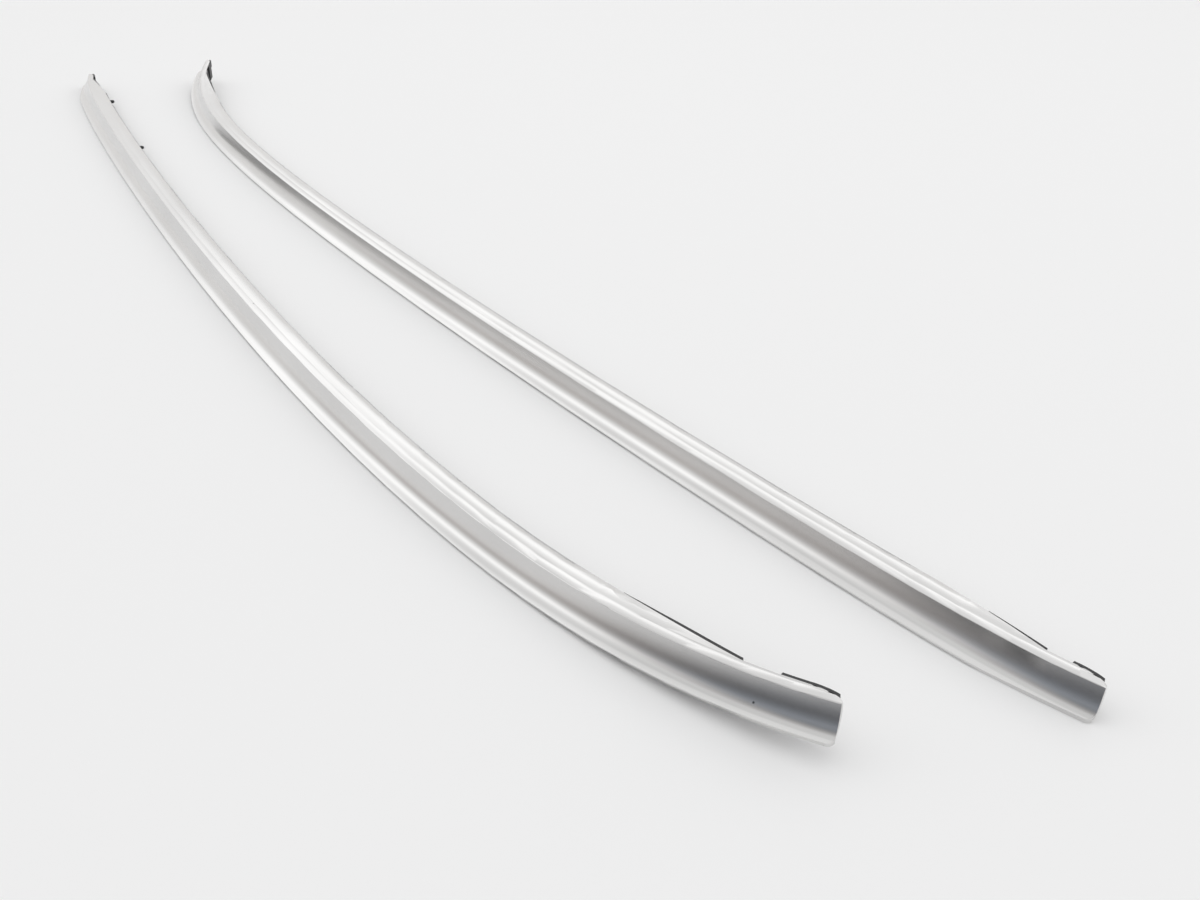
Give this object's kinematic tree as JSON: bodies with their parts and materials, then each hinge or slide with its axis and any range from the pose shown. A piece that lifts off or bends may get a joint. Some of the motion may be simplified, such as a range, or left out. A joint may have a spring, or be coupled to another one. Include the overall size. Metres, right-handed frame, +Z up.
{
  "type": "roof side rail pair",
  "caption": "Left and right flush roof side rails in satin aluminium: bowed coved extrusions with trimmed, sealed ends, slot nuts and locating pins for bolting along a car roof.",
  "frame": {"origin": "on the floor under the middle of the pair's bounding box, as the rails lie", "axes": "X runs along the rails, Y across them towards their roof sides, Z up from the floor"},
  "size_m": [1.9296, 0.2848, 0.0348],
  "materials": {
    "rail_aluminium": "satin anodised",
    "gasket_rubber": "matt",
    "base_plastic": "matt",
    "nut_steel": "zinc plated",
    "carrier_plastic": "matt",
    "pin_plastic": "matt"
  },
  "bodies": {
    "root": {"left_rail_profile": "rail_aluminium", "left_base_gasket": "gasket_rubber", "left_front_sealing_base": "base_plastic", "left_rear_sealing_base": "base_plastic", "left_slot_nuts": "nut_steel", "left_nut_carriers": "carrier_plastic", "left_locating_pins": "pin_plastic", "right_rail_profile": "rail_aluminium", "right_base_gasket": "gasket_rubber", "right_front_sealing_base": "base_plastic", "right_rear_sealing_base": "base_plastic", "right_slot_nuts": "nut_steel", "right_nut_carriers": "carrier_plastic", "right_locating_pins": "pin_plastic"}
  },
  "joints": []
}
